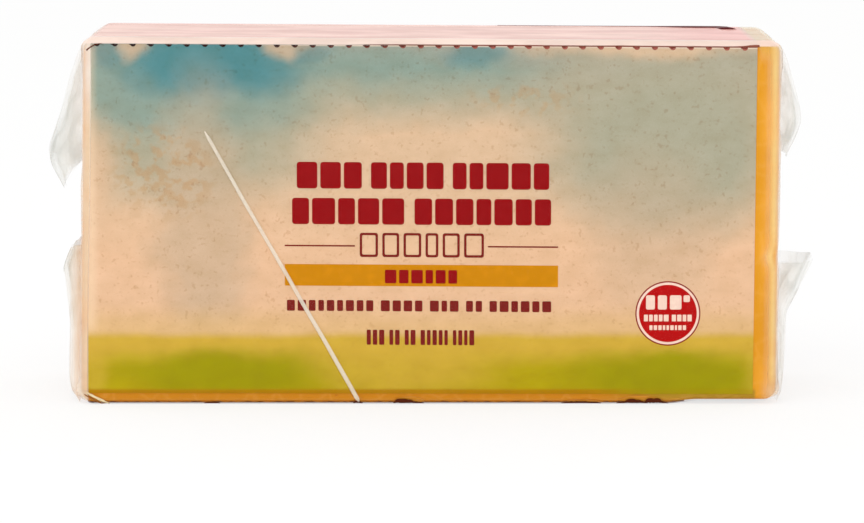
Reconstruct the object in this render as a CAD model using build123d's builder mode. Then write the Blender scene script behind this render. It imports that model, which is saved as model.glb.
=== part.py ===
"""Block of cheddar in its shop pack: the cheese, a printed label in two parts, and clear film.

The block stands on its long narrow side. X runs along the block, the printed front faces -Y,
and the origin is on the table under the middle of the block. The front label is a sheet with a
scalloped top edge. A second label wraps the top, the back and the base, and meets the scallops.
The clear film lies tight over everything. At each end it is gathered to a flat seam, with one
ear folded down from the top and one folded up from the base.
"""

import os

from build123d import *

# Cheese: cut a little out of square, so each corner of its front outline has its own size.
base_length = 175.0
left_lean = 1.6  # how far the left end leans in towards its top
right_lean = -0.3
left_height = 91.8
right_height = 90.7
block_depth = 52.8
base_lift = 0.7  # the base is cut higher towards the right end
lift_margin = 26.5  # from the foot of that rise to the right end
lift_run = 5.5
corner_radius = 3.0  # where the ends meet the top and the base
edge_radius = 1.6  # around the front and the back face
lift_radius = 25.0

# Sheets
label_thickness = 0.2
film_thickness = 0.2

# Front label: margins from the corners of the cheese's front outline.
margin_left = 1.7
margin_right = 5.9
margin_base_left = 2.5
margin_base_right = 1.5
top_drop_left = 1.2  # its top edge lies this far below the cheese's top
top_drop_right = 1.25
scallop_pitch = 4.48
scallop_last_gap = 3.1  # from the last gap between scallops to the label's right edge
scallop_gap_width = 1.5
scallop_gap_depth = 0.75

# Wrapped label: it ends on the rounded lower front edge. Each bump of that end has a distance
# from the block's right end, a width and a height.
lip_height = 0.25
lip_bumps = [(105.1, 1.9, 1.5), (92.2, 7.6, 1.4), (48.6, 8.8, 0.55), (34.5, 10.8, 1.6)]

# Ears of the film, from root to free edge. Each row is the distance from the block's top (from
# the table for the lower ears), the stand-off from the end, and the inset from front and back.
ear_wall = 0.35
upper_left_ear = [
    (1.8, 1.0, 2.6),
    (5.2, 2.9, 3.8),
    (12.0, 5.3, 7.1),
    (19.7, 7.2, 10.6),
    (25.4, 9.0, 13.1),
    (29.5, 10.4, 15.1),
    (34.0, 9.8, 17.1),
    (40.1, 6.2, 20.2),
]
lower_left_ear = [
    (1.2, 3.4, 2.6),
    (4.6, 4.3, 3.8),
    (10.7, 4.3, 6.1),
    (17.8, 4.2, 8.6),
    (25.1, 5.3, 11.1),
    (32.4, 6.3, 14.1),
    (37.4, 4.3, 17.1),
]
upper_right_ear = [
    (2.2, 1.4, 2.6),
    (6.4, 3.2, 4.1),
    (11.8, 5.1, 6.6),
    (18.2, 6.8, 10.1),
    (21.6, 7.1, 12.1),
    (25.2, 5.8, 14.1),
    (30.4, 3.2, 17.1),
]
lower_right_ear = [
    (1.2, 2.0, 2.6),
    (5.6, 2.8, 3.8),
    (12.1, 3.4, 6.1),
    (21.5, 3.8, 10.1),
    (23.9, 5.3, 11.6),
    (29.1, 8.5, 14.1),
    (34.1, 10.8, 15.6),
]
upper_left_tip_rise = 8.5  # the free edge hangs lowest at its ridge and rises to the end
upper_right_tip_rise = 3.0
ridge_shift = -1.5  # towards the free edge the ridge comes this far in front of the middle

# Seam of the film at each end, folded flat between the ears
seam_width = 9.0
seam_rise = 0.6
seam_margin = 12.0  # from the block's top and from the table

wrap = label_thickness + film_thickness  # the cheese lies this far above the table
root_depth = 6.0  # how far the ears' and seams' blanks reach into the block before trimming
beyond = block_depth  # past the front or the back, for a cut that goes right through

lower_left = (-base_length / 2, wrap)
lower_right = (base_length / 2, wrap + base_lift)
upper_right = (lower_right[0] - right_lean, wrap + right_height)
upper_left = (lower_left[0] + left_lean, wrap + left_height)
lift_foot = (lower_right[0] - lift_margin, wrap)
lift_head = (lift_foot[0] + lift_run, wrap + base_lift)


def along(start, end, share):
    """A point on the line from start to end."""
    return tuple(a + share * (b - a) for a, b in zip(start, end))


def grown_block(growth):
    """The cheese's own shape, grown outwards by the same distance on every side."""
    half_depth = block_depth / 2 + growth
    lift_middle = along(lift_foot, lift_head, 0.5)
    with BuildPart() as block:
        with BuildSketch(Plane.XZ.offset(-half_depth)):
            Polygon(
                lower_left, lift_foot, lift_head, lower_right, upper_right, upper_left, align=None
            )
            if growth:
                offset(amount=growth, kind=Kind.INTERSECTION)
            fillet(
                vertices().sort_by_distance(lift_middle)[2:], radius=corner_radius + growth
            )
            fillet(vertices().sort_by_distance(lift_middle)[:2], radius=lift_radius)
        extrude(amount=2 * half_depth)
        fillet(block.faces().filter_by(Axis.Y).edges(), radius=edge_radius + growth)
    return block.part


def end_x(side, height):
    """Where the film's outer face is at one end (side -1 is the left end), at a height."""
    foot, head = (lower_left, upper_left) if side < 0 else (lower_right, upper_right)
    share = (height - foot[1]) / (head[1] - foot[1])
    return foot[0] + share * (head[0] - foot[0]) + side * wrap


def film_ear(side, start, way, levels, tip_rise):
    """One folded ear: a thin hood on the end, closed at its root and open at its free edge.

    Its levels are counted from the height start, downwards where way is -1.
    """

    def hood(wall, overrun):
        with BuildPart() as solid:
            for number, (distance, stand_off, inset) in enumerate(levels):
                if number == 0:
                    distance += wall
                elif number == len(levels) - 1:
                    run = distance - levels[number - 1][0]
                    distance, stand_off, inset = along(
                        levels[number - 1], levels[number], 1 + overrun / run
                    )
                half_width = block_depth / 2 - inset
                half_width -= max(wall, wall * half_width / (2 * stand_off))
                height = start + way * distance
                face_x = end_x(side, height)
                deep_x = face_x - side * root_depth
                ridge_x = face_x + side * (stand_off - wall)
                with BuildSketch(Plane.XY.offset(height)):
                    with BuildLine():
                        ThreePointArc(
                            (face_x, -half_width),
                            (ridge_x, ridge_shift * distance / levels[-1][0]),
                            (face_x, half_width),
                        )
                        Polyline(
                            (face_x, half_width),
                            (deep_x, half_width),
                            (deep_x, -half_width),
                            (face_x, -half_width),
                        )
                    make_face()
            loft(ruled=True)
        return solid.part

    with BuildPart() as ear:
        add(hood(0, 0))
        add(hood(ear_wall, 1.0), mode=Mode.SUBTRACT)
        if tip_rise:
            free_height = start + way * levels[-1][0]
            body_x = end_x(side, free_height)
            deep_x = body_x - side * 2 * root_depth
            with BuildSketch(Plane.XZ):
                Polygon(
                    (body_x + side * levels[-1][1], free_height + 2 * way),
                    (body_x + side * levels[-1][1], free_height),
                    (body_x, free_height - way * tip_rise),
                    (deep_x, free_height - way * tip_rise),
                    (deep_x, free_height + 2 * way),
                    align=None,
                )
            extrude(amount=beyond, both=True, mode=Mode.SUBTRACT)
    return ear.part


def end_seam(side, top):
    """The film's end seam, folded flat on the end between the ears."""
    low, high = seam_margin, top - seam_margin
    with BuildPart() as seam:
        with BuildSketch(Plane.XZ.offset(-seam_width / 2)):
            Polygon(
                (end_x(side, low) - side * root_depth, low),
                (end_x(side, low) + side * seam_rise, low),
                (end_x(side, high) + side * seam_rise, high),
                (end_x(side, high) - side * root_depth, high),
                align=None,
            )
        extrude(amount=seam_width)
    return seam.part


# Corners of the front label
label_lower_left = (lower_left[0] + margin_left, lower_left[1] + margin_base_left)
label_lower_right = (lower_right[0] - margin_right, lower_right[1] + margin_base_right)
label_upper_left = (upper_left[0] + margin_left, upper_left[1] - top_drop_left)
label_upper_right = (upper_right[0] - margin_right, upper_right[1] - top_drop_right)
label_length = label_upper_right[0] - label_upper_left[0]
wrap_overlap = 1.5 * scallop_gap_depth  # the wrapped label's blank reaches below the gaps
scallop_count = int((label_length - scallop_last_gap) / scallop_pitch) + 1

with BuildPart() as cheese:
    add(grown_block(0))

# The skin that both labels are cut from
with BuildPart() as label_layer:
    add(grown_block(label_thickness))
    add(cheese.part, mode=Mode.SUBTRACT)

with BuildPart() as front_space:
    with BuildSketch(Plane.XZ):
        Polygon(
            label_lower_left, label_lower_right, label_upper_right, label_upper_left, align=None
        )
        for number in range(scallop_count):
            from_right = scallop_last_gap + number * scallop_pitch
            with Locations(along(label_upper_right, label_upper_left, from_right / label_length)):
                Ellipse(scallop_gap_width / 2, scallop_gap_depth, mode=Mode.SUBTRACT)
    extrude(amount=beyond)

with BuildPart() as front_label:
    add(label_layer.part)
    add(front_space.part, mode=Mode.INTERSECT)

# The slab that the wrapped label fills, open over the front from the lip up to the scallops.
# Its two ends carry on the lines of the front label's ends.
with BuildPart() as wrap_space:
    with BuildSketch(Plane.XZ):
        Polygon(
            along(label_lower_left, label_upper_left, -0.5),
            along(label_lower_right, label_upper_right, -0.5),
            along(label_lower_right, label_upper_right, 1.5),
            along(label_lower_left, label_upper_left, 1.5),
            align=None,
        )
    extrude(amount=beyond, both=True)
    with BuildSketch(Plane.XZ):
        Polygon(
            (lower_left[0] - beyond, wrap + lip_height),
            (lower_right[0] + beyond, wrap + lip_height),
            (lower_right[0] + beyond, label_upper_right[1] - wrap_overlap),
            (label_upper_right[0], label_upper_right[1] - wrap_overlap),
            (label_upper_left[0], label_upper_left[1] - wrap_overlap),
            (lower_left[0] - beyond, label_upper_left[1] - wrap_overlap),
            align=None,
        )
        for from_right, width, height in lip_bumps:
            with Locations((lower_right[0] - from_right, wrap + lip_height)):
                Ellipse(width / 2, height, mode=Mode.SUBTRACT)
    extrude(amount=beyond, mode=Mode.SUBTRACT)

with BuildPart() as wrap_label:
    add(label_layer.part)
    add(wrap_space.part, mode=Mode.INTERSECT)
    add(front_label.part, mode=Mode.SUBTRACT)

with BuildPart() as film:
    add(grown_block(wrap))
    add(end_seam(-1, upper_left[1]))
    add(end_seam(1, upper_right[1]))
    add(film_ear(-1, upper_left[1], -1, upper_left_ear, upper_left_tip_rise))
    add(film_ear(-1, 0, 1, lower_left_ear, 0))
    add(film_ear(1, upper_right[1], -1, upper_right_ear, upper_right_tip_rise))
    add(film_ear(1, 0, 1, lower_right_ear, 0))
    for contents in (cheese, front_label, wrap_label):
        add(contents.part, mode=Mode.SUBTRACT)

cheese.part.label = "cheese"
front_label.part.label = "front_label"
wrap_label.part.label = "wrap_label"
film.part.label = "film"
for piece in (cheese, front_label, wrap_label, film):
    size = piece.part.bounding_box().size
    print(piece.part.label, "cm3:", round(piece.part.volume / 1000, 2), "size:", size)

os.makedirs("parts", exist_ok=True)
export_step(cheese.part, "parts/cheese.step")
export_step(front_label.part, "parts/front_label.step")
export_step(wrap_label.part, "parts/wrap_label.step")
export_step(film.part, "parts/film.step")
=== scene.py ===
"""Looks of a cheddar block in its shop pack: cut cheese, two printed labels, clear film.

The packed CAD model is the frame: metres, X along the block, the printed front faces -Y, Z up.
The cheese and the two labels keep their CAD meshes. The film is rebuilt here as a tight skin
with folded ends, four gathered ears and two end seams.
"""

import math
from functools import partial

import bmesh
import bpy
import numpy as np
from bpy.props import FloatProperty, FloatVectorProperty, PointerProperty
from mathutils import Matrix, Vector


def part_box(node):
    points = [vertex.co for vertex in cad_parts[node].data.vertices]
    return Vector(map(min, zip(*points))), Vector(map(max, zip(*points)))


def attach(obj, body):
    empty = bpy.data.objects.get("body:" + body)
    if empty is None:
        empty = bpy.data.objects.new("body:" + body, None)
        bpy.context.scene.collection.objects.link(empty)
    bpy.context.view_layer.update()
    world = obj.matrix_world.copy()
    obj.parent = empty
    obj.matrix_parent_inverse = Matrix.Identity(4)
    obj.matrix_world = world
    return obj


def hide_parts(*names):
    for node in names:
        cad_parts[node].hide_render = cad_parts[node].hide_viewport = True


bl_info = {
    "name": "Cheddar block pack",
    "version": (1, 0, 0),
    "blender": (4, 5, 0),
    "location": "View3D > Sidebar > Cheddar",
    "description": "Builds the print, the clear film and the studio of a packed cheddar block",
    "category": "Add Mesh",
}

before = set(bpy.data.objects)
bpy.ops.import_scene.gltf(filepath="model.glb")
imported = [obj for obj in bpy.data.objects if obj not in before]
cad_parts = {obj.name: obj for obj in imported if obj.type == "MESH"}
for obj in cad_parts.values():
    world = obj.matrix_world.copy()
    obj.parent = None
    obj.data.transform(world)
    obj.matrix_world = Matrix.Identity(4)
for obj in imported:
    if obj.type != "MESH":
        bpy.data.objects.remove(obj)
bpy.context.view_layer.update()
CHEESE_LOW, CHEESE_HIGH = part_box("cheese")
FRONT_LOW, FRONT_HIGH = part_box("front_label")
WRAP_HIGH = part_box("wrap_label")[1]
FILM_LOW, FILM_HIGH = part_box("film")

MM = 0.001
ROOT = "root"


# ---------------------------------------------------------------- small helpers


def linear(code):
    """A linear colour from an sRGB hex code."""
    parts = [int(code[number : number + 2], 16) / 255 for number in (1, 3, 5)]
    return tuple(
        part / 12.92 if part <= 0.04045 else ((part + 0.055) / 1.055) ** 2.4 for part in parts
    ) + (1.0,)


def length(name, about, default, **limits):
    """A size in metres."""
    limits.update(unit="LENGTH", subtype="DISTANCE", precision=5)
    return FloatProperty(name=name, description=about, default=default, **limits)


def colour(name, about, code):
    """A colour that a user may change."""
    limits = {"size": 4, "min": 0, "max": 1, "subtype": "COLOR"}
    return FloatVectorProperty(name=name, description=about, default=linear(code), **limits)


# Nodes that come back often: type, settings, the numbers of their inputs, and their output
SHORT = {
    "smooth": ("ShaderNodeMapRange", {"interpolation_type": "SMOOTHSTEP"}, (0, 1, 2, 3, 4), 0),
    "mix": ("ShaderNodeMix", {"data_type": "RGBA"}, (0, 6, 7), 2),
    "tint": ("ShaderNodeMix", {"data_type": "RGBA", "blend_type": "MULTIPLY"}, (0, 6, 7), 2),
    "times": ("ShaderNodeMath", {"operation": "MULTIPLY"}, (0, 1), 0),
    "weigh": ("ShaderNodeVectorMath", {"operation": "MULTIPLY_ADD"}, (0, 1, 2), 0),
}


def feed(node, inputs):
    """Links or sets inputs of a node, by their names or numbers."""
    for name, value in inputs.items():
        if isinstance(value, bpy.types.NodeSocket):
            node.id_data.links.new(value, node.inputs[name])
        else:
            node.inputs[name].default_value = value


def add_node(tree, kind, *values, inputs=None, out=0, stops=(), **settings):
    """Adds a node with its settings and links, and gives one of its outputs.

    The values, constants or sockets, go to its first inputs in their order.
    """
    kind, fixed, numbers, out = SHORT.get(kind, (kind, {}, range(len(values)), out))
    node = tree.nodes.new(kind)
    for name, value in {**fixed, **settings}.items():
        setattr(node, name, value)
    feed(node, {**dict(zip(numbers, values)), **(inputs or {})})
    for number, (place, shade) in enumerate(stops):
        elements = node.color_ramp.elements
        element = elements[number] if number < 2 else elements.new(place)
        element.position, element.color = place, shade
    return node.outputs[out]


def new_material(name):
    """A material, what adds its nodes, its shader, and object coordinates in millimetres."""
    material = bpy.data.materials.new(name)
    material.use_nodes = True
    node = partial(add_node, material.node_tree)
    shader = next(item for item in material.node_tree.nodes if item.type == "BSDF_PRINCIPLED")
    place = node("ShaderNodeTexCoord", out="Object")
    place = node("ShaderNodeMapping", inputs={"Vector": place, "Scale": (1 / MM,) * 3})
    return material, node, shader, place


def finish(shader, tone, rough, normal=None, ior=1.49, shine=0.06, coat=(0.0, 0.03), **more):
    """Gives a shader its colour, roughness and relief, its gloss and its clear coat."""
    inputs = {"Base Color": tone, "Roughness": rough, "IOR": ior, "Specular IOR Level": shine}
    inputs["Coat Weight"], inputs["Coat Roughness"] = coat
    if normal:
        inputs["Normal"] = normal
    feed(shader, {**inputs, **more})


def noise_field(node, place, size, detail=2.0, stretch=(1, 1, 1), roughness=0.5):
    """Noise whose lumps are about one size in millimetres, from 0 to 1."""
    place = node("ShaderNodeMapping", inputs={"Vector": place, "Scale": stretch})
    inputs = {"Vector": place, "Scale": 1 / size, "Detail": detail, "Roughness": roughness}
    return node("ShaderNodeTexNoise", inputs=inputs, out="Fac")


def lay_fields(mesh, fields):
    """Gives each point of a mesh its numbers or colours, by the name of the field."""
    for field, values in fields.items():
        values = np.asarray(values, dtype=np.float32)
        kind, slot = ("FLOAT", "value") if values.ndim == 1 else ("FLOAT_COLOR", "color")
        layer = mesh.attributes.new(field, kind, "POINT")
        layer.data.foreach_set(slot, values.ravel())


def even_fields(count, haze, code):
    """The same haze and tint for every point."""
    return {"haze": np.full(count, haze), "tint": np.tile(linear(code), (count, 1))}


def lay_mesh(name, vertices, faces, material, smooth=True, outwards=False, fields=None):
    """A finished piece: its place is in its mesh."""
    mesh = bpy.data.meshes.new(name)
    mesh.from_pydata([tuple(v) for v in vertices], [], [tuple(f) for f in faces])
    if outwards:
        shape = bmesh.new()
        shape.from_mesh(mesh)
        bmesh.ops.recalc_face_normals(shape, faces=shape.faces)
        shape.to_mesh(mesh)
        shape.free()
    lay_fields(mesh, fields or {})
    mesh.polygons.foreach_set("use_smooth", [smooth] * len(mesh.polygons))
    mesh.materials.append(material)
    mesh.update()
    piece = bpy.data.objects.new(name, mesh)
    bpy.context.scene.collection.objects.link(piece)
    return piece


def ride(piece):
    """The piece rides on the root body."""
    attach(piece, ROOT)


def value_noise(points, size, seed):
    """Smooth noise from -1 to 1 at points in millimetres."""
    cell = np.asarray(points, dtype=float) / size
    base = np.floor(cell).astype(np.int64)
    part = cell - base
    part = part * part * (3 - 2 * part)
    total = np.zeros(cell.shape[:-1])
    for corner in np.ndindex(2, 2, 2):
        key = (base + corner) @ np.array([73856093, 19349663, 83492791]) + seed * 1013904223
        key = ((key ^ (key >> 13)) * 1274126177) & 0x7FFFFFFF
        value = ((key ^ (key >> 16)) & 0xFFFF) / 65535
        total += np.prod(np.where(corner, part, 1 - part), axis=-1) * value
    return total * 2 - 1


def folds(points, size, seed, sharpness=3.0):
    """Sharp creases between slack areas: 1 on a crease, falling to 0 away from it."""
    return np.clip(1 - np.abs(value_noise(points, size, seed)) * sharpness, 0, 1) ** 1.5


def ramp_up(values, low, high):
    """0 below low, 1 above high, smooth between them."""
    share = np.clip((values - low) / (high - low), 0, 1)
    return share * share * (3 - 2 * share)


def even_grid(rows, columns):
    """Two numbers for each point of a grid: from -1 to 1 across it, and from 0 to 1 down it."""
    return np.meshgrid(np.linspace(-1, 1, columns + 1), np.linspace(0, 1, rows + 1))


def rounded_tile(x0, z0, x1, z1, radius, steps=3):
    """Outline of an upright rounded rectangle, counter-clockwise seen from the front."""
    radius = min(radius, (x1 - x0) / 2.01, (z1 - z0) / 2.01)
    points = []
    for cx, cz, turn in (
        (x1 - radius, z0 + radius, -90),
        (x1 - radius, z1 - radius, 0),
        (x0 + radius, z1 - radius, 90),
        (x0 + radius, z0 + radius, 180),
    ):
        for step in range(steps + 1):
            angle = math.radians(turn + 90 * step / steps)
            points.append((cx + radius * math.cos(angle), cz + radius * math.sin(angle)))
    return points


def disc_outline(centre, radius, steps=96):
    """Outline of a disc."""
    turns = [2 * math.pi * step / steps for step in range(steps)]
    return [
        (centre[0] + radius * math.cos(turn), centre[1] + radius * math.sin(turn))
        for turn in turns
    ]


def ink(name, outlines, face_y, rise, material, holes=(), facing=-1, slope=0.0):
    """A layer of ink: flat closed prisms a few hundredths of a millimetre proud of a label.

    Outlines and holes are in millimetres. A hole belongs to the outline of the same number and
    has as many points. face_y is the label's face, in metres. The print falls by the slope.
    """
    vertices, faces = [], []
    outer_y, inner_y = face_y + facing * rise * MM, face_y - facing * 0.02 * MM
    for number, outline in enumerate(outlines):
        hole = holes[number] if number < len(holes) else None
        count, start = len(outline), len(vertices)
        for ring in [outline] + ([hole] if hole else []):
            ring = [(x, z - slope * x) for x, z in ring]
            vertices += [(x * MM, outer_y, z * MM) for x, z in ring]
            vertices += [(x * MM, inner_y, z * MM) for x, z in ring]
        for i in range(count):
            j = (i + 1) % count
            faces.append((start + i, start + count + i, start + count + j, start + j))
            if hole:
                two, three = start + 2 * count, start + 3 * count
                faces.append((two + i, two + j, three + j, three + i))
                faces.append((start + i, start + j, two + j, two + i))
                faces.append((start + count + j, start + count + i, three + i, three + j))
        if not hole:
            faces.append(tuple(start + i for i in range(count)))
            faces.append(tuple(start + count + i for i in reversed(range(count))))
    return lay_mesh(name, vertices, faces, material, smooth=False, outwards=True)


def word_tiles(x0, x1, z0, z1, words, gap, word_gap, seed, radius=0.5):
    """Plain tiles in the place of a line of print: widths vary, and none is a letter."""
    rng = np.random.default_rng(seed)
    weights = [rng.uniform(0.75, 1.25, count) for count in words]
    free = (x1 - x0) - word_gap * (len(words) - 1) - gap * sum(count - 1 for count in words)
    scale = free / sum(weight.sum() for weight in weights)
    tiles, x = [], x0
    for weight in weights:
        for width in weight * scale:
            tiles.append(rounded_tile(x, z0, x + width, z1, radius))
            x += width + gap
        x += word_gap - gap
    return tiles


def grown_mesh(name, tree, values):
    """Runs a geometry tree on an empty mesh and returns the plain mesh object it makes."""
    holder = bpy.data.objects.new(name + "_tree", bpy.data.meshes.new(name + "_seed"))
    bpy.context.scene.collection.objects.link(holder)
    modifier = holder.modifiers.new("tree", "NODES")
    modifier.node_group = tree
    for item in tree.interface.items_tree:
        if item.item_type == "SOCKET" and item.in_out == "INPUT" and item.name in values:
            modifier[item.identifier] = values[item.name]
    graph = bpy.context.evaluated_depsgraph_get()
    mesh = bpy.data.meshes.new_from_object(
        holder.evaluated_get(graph), preserve_all_data_layers=True, depsgraph=graph
    )
    holder.modifiers.remove(modifier)
    bpy.data.objects.remove(holder)
    mesh.name = name
    piece = bpy.data.objects.new(name, mesh)
    bpy.context.scene.collection.objects.link(piece)
    return piece


def repeat_tree(name, sockets, build):
    """A geometry tree with named inputs: one shape in a row, as real mesh with its material."""
    tree = bpy.data.node_groups.new(name, "GeometryNodeTree")
    node = partial(add_node, tree)
    row = {"Count": "Int", "Start": "Vector", "Pitch": "Vector", "Material": "Material"}
    for label, kind in {**row, **sockets}.items():
        tree.interface.new_socket(label, in_out="INPUT", socket_type="NodeSocket" + kind)
    tree.interface.new_socket("Geometry", in_out="OUTPUT", socket_type="NodeSocketGeometry")
    source = node("NodeGroupInput").node.outputs
    line = {"Count": source["Count"], "Start Location": source["Start"]}
    line["Offset"] = source["Pitch"]
    points = node("GeometryNodeMeshLine", inputs=line, mode="OFFSET")
    instances = node("GeometryNodeInstanceOnPoints", points, inputs=build(node, source))
    real = node("GeometryNodeRealizeInstances", instances)
    material = source["Material"]
    dressed = node("GeometryNodeSetMaterial", inputs={"Geometry": real, "Material": material})
    feed(tree.nodes.new("NodeGroupOutput"), {"Geometry": dressed})
    return tree


# ---------------------------------------------------------------- sizes and colours


class BlockSizes(bpy.types.PropertyGroup):
    """The cheese's outline, as the CAD part has it"""

    left_lean: length("Left lean", "How far the left end leans in towards its top", 1.6 * MM)
    right_lean: length("Right lean", "How far the right end leans in towards its top", -0.3 * MM)
    right_drop: length("Right drop", "How much lower the top is at its right end", 1.1 * MM)
    label_drop: length("Label drop", "From the film's top to the front label's top", 1.62 * MM)
    base_lift: length("Base lift", "How much higher the base is cut at the right end", 0.7 * MM)
    lift_foot: length("Lift foot", "Where the base starts to rise, along the block", 61.0 * MM)
    lift_head: length("Lift head", "Where the base stops rising, along the block", 66.5 * MM)
    corner_radius: length("Corner radius", "Rounding of the ends into top and base", 3.0 * MM)
    edge_radius: length("Edge radius", "Rounding around the front and the back", 1.6 * MM)


class FilmSizes(bpy.types.PropertyGroup):
    """The clear film"""

    gauge: length("Gauge", "Thickness of the ears' film", 0.12 * MM, min=0.02 * MM)
    ripple: length("Ripple", "Height of the slack over the cheese", 0.07 * MM, min=0)
    end_fold: length("End folds", "Height of the folds on the ends", 0.45 * MM, min=0)
    crease_width: length("Crease width", "Width of the long crease on the front", 1.0 * MM)
    crease_height: length("Crease height", "How far the crease stands up", 0.28 * MM)
    rib_pitch: length("Rib pitch", "Distance between the ribs of the end seams", 1.5 * MM)
    rib_width: length("Rib width", "Width of one rib", 0.6 * MM)


class CheeseLook(bpy.types.PropertyGroup):
    """Cut cheddar"""

    body: colour("Body", "Deep yellow of the cut face", "#f5ac34")
    # Deep also paints the shade beside the front label's right edge
    deep: colour("Deep", "Where the paste is denser", "#e0960f")
    pale: colour("Pale", "Where the film stands off a little", "#ffc66e")
    speck: colour("Speck", "Small dark specks", "#b96a14")
    vein: length("Vein", "Size of the lighter and darker patches", 14.0 * MM)


class LandscapeLook(bpy.types.PropertyGroup):
    """The printed landscape: soft fields of colour, sky over a meadow"""

    sky_top: colour("Sky top", "Sandy grey along the top edge", "#a8a294")
    sky_green: colour("Sky green", "Grey-green under the top edge", "#8fa398")
    sky_mid: colour("Sky middle", "Where the clouds thin out", "#b3ae98")
    peach_high: colour("Upper peach", "Warm light in the middle of the sky", "#e2c1a0")
    peach_low: colour("Lower peach", "Warm light near the ground", "#edc39f")
    glow: colour("Glow", "Light band just above the ground", "#e3bb80")
    straw: colour("Straw", "Sunlit top of the meadow", "#d6b140")
    meadow: colour("Meadow", "Green-yellow of the meadow", "#baa70c")
    grass: colour("Grass", "Deeper green low in the meadow", "#a39b00")
    hem: colour("Hem", "Ochre along the bottom edge", "#b57f00")
    teal: colour("Teal", "Blue-green clouds", "#528c93")
    haze: colour("Haze", "Grey-green haze at the right", "#afac96")
    sand: colour("Sand", "Sandy cloud gaps", "#cbb296")
    rust: colour("Rust", "Orange-brown mottling", "#c4935c")


class InkColours(bpy.types.PropertyGroup):
    """Inks of the plain shapes that stand where the real pack has words"""

    title: colour("Title", "Deep red of the large tiles", "#92040a")
    small: colour("Small print", "Brown red of the small tiles", "#7c1f1a")
    band: colour("Band", "Ochre bar", "#cc8500")
    badge: colour("Badge", "Red disc", "#b60809")
    ring: colour("Ring", "Pale ring and marks of the badge", "#f4d3c2")
    red_film: colour("Red film", "Dark red of the wrapped label", "#a5161c")
    panel: colour("Panel", "Pale panel on the back", "#efe0cf")


class StageLook(bpy.types.PropertyGroup):
    """Floor, light and camera"""

    floor: colour("Floor", "Pale floor", "#fdfdfc")
    sky_strength: FloatProperty(
        name="Sky strength", description="Light from all round", default=0.96, min=0
    )
    key_power: FloatProperty(
        name="Key power", description="Soft lamp above the camera, in watts", default=5.0, min=0
    )
    camera_height: length("Camera height", "Above the table", 162.4 * MM)
    camera_distance: length("Camera distance", "In front of the block's middle", 1008.3 * MM)
    camera_side: length("Camera side", "To the right of the block's middle", 0.9 * MM)
    camera_pitch: FloatProperty(
        name="Camera pitch",
        description="How far the camera looks down",
        default=math.radians(7.3226),
        subtype="ANGLE",
    )
    camera_lens: FloatProperty(
        name="Camera lens", description="Focal length on a 36 mm sensor", default=164.58
    )


# ---------------------------------------------------------------- materials


def cheddar_material(look):
    """Cheddar, cut with a wire: dense and faintly oily, a little mottled, with fine dark specks.

    The film lies right on it, so it has a smooth clear coat over a soft body.
    """
    material, node, shader, place = new_material("cheddar_wire_cut")
    spot = node("ShaderNodeSeparateXYZ", place).node.outputs
    across, height = spot["X"], spot["Z"]
    patches = noise_field(node, place, look.vein / MM, 3.0, (1, 1, 0.6))
    tone = node("mix", node("smooth", patches, 0.35, 0.68), look.deep, look.body)
    tone = node("mix", node("smooth", height, 72.0, 90.0, 0.0, 0.8), tone, look.deep)
    # Painted shade: darker beside the label's right edge, as if the label's edge shaded the cheese
    tone = node("mix", node("smooth", across, 84.2, 82.0, 0.0, 0.55), tone, look.deep)
    # Below the label the cheese is browner along the lower front edge, and lighter at the very
    # bottom: a painted reflection of the pale floor
    lower_strip_and_reflection = node("mix", node("smooth", across, 40.0, 62.0), linear("#cf8610"), linear("#b88e22"))
    lower_strip_and_reflection = node("mix", node("smooth", height, 2.0, 0.9, 0.0, 0.6), lower_strip_and_reflection, linear("#e29c38"))
    low = node("times", node("smooth", height, 4.2, 3.2), node("smooth", across, 82.6, 81.8))
    tone = node("mix", low, tone, lower_strip_and_reflection)
    # Curd joints: pale lines between the pressed curds, about 6 mm apart
    inputs = {"Vector": place, "Scale": 1 / 6.0}
    curds = node("ShaderNodeTexVoronoi", inputs=inputs, feature="DISTANCE_TO_EDGE", out="Distance")
    tone = node("mix", node("smooth", curds, 0.0, 0.10, 0.10, 0.0), tone, look.pale)
    # Specks 0.3 to 0.5 mm across, a few in each square centimetre
    inputs = {"Vector": place, "Scale": 1 / 2.1}
    cells = node("ShaderNodeTexVoronoi", inputs=inputs, out="Distance")
    rare = node("smooth", noise_field(node, place, 3.1, 1.0), 0.55, 0.62, 0.0, 0.85)
    speck = node("times", node("smooth", cells, 0.10, 0.17, 1.0, 0.0), rare)
    tone = node("mix", speck, tone, look.speck)
    grain = noise_field(node, place, 1.1, 4.0)
    inputs = {"Strength": 0.25, "Distance": 0.15 * MM, "Height": grain}
    relief = node("ShaderNodeBump", inputs=inputs)
    rough = node("smooth", grain, 0.3, 0.7, 0.42, 0.58)
    finish(shader, tone, rough, relief, 1.45, 0.2, (0.05, 0.12))
    return material


def film_relief(node, place, strength, depth):
    """Slack of a thin printed film: long soft waves with a fine orange-peel on top."""
    waves = noise_field(node, place, 22.0, 1.0, (1, 1, 0.55))
    peel = node("times", noise_field(node, place, 2.4, 2.0), 0.10)
    height = node("ShaderNodeMath", waves, peel, operation="ADD")
    inputs = {"Strength": strength, "Distance": depth, "Height": height}
    return node("ShaderNodeBump", inputs=inputs)


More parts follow.
